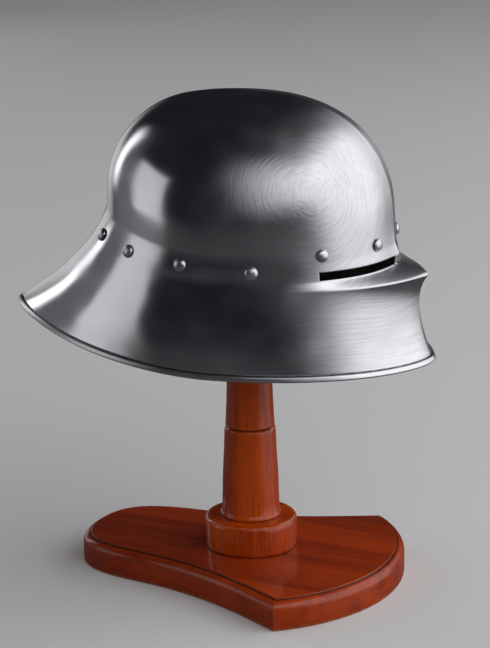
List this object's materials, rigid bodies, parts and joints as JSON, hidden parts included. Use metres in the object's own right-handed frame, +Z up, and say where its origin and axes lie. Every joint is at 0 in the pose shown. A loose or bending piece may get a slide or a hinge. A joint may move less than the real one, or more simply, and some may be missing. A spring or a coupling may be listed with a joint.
{
  "type": "sallet helmet on wooden display stand",
  "caption": "One-piece steel sallet with sight slits over a projecting ledge, lining rivets, rolled rim and swept tail, on a turned wooden column and shaped board",
  "frame": {"origin": "on the ground under the middle of the stand's column, at the middle of the flat underside of the board", "axes": "+X is the wearer's front, +Y is the wearer's left, +Z is up"},
  "size_m": [0.3857, 0.2518, 0.4398],
  "materials": {
    "helmet_steel": "satin polished, with fine curved brushing marks",
    "rivet_steel": "polished domed heads",
    "board_wood": "stained red-brown, glossy varnish",
    "turned_wood": "stained red-brown, glossy varnish, grain along the column"
  },
  "bodies": {
    "root": {"skull": "helmet_steel", "rivet_right_1": "rivet_steel", "rivet_right_2": "rivet_steel", "rivet_right_3": "rivet_steel", "rivet_right_4": "rivet_steel", "rivet_right_5": "rivet_steel", "rivet_right_6": "rivet_steel", "rivet_left_1": "rivet_steel", "rivet_left_2": "rivet_steel", "rivet_left_3": "rivet_steel", "rivet_left_4": "rivet_steel", "rivet_left_5": "rivet_steel", "rivet_left_6": "rivet_steel", "stand_board": "board_wood", "stand_collar": "turned_wood", "stand_column": "turned_wood", "stand_cap": "turned_wood"}
  },
  "joints": []
}
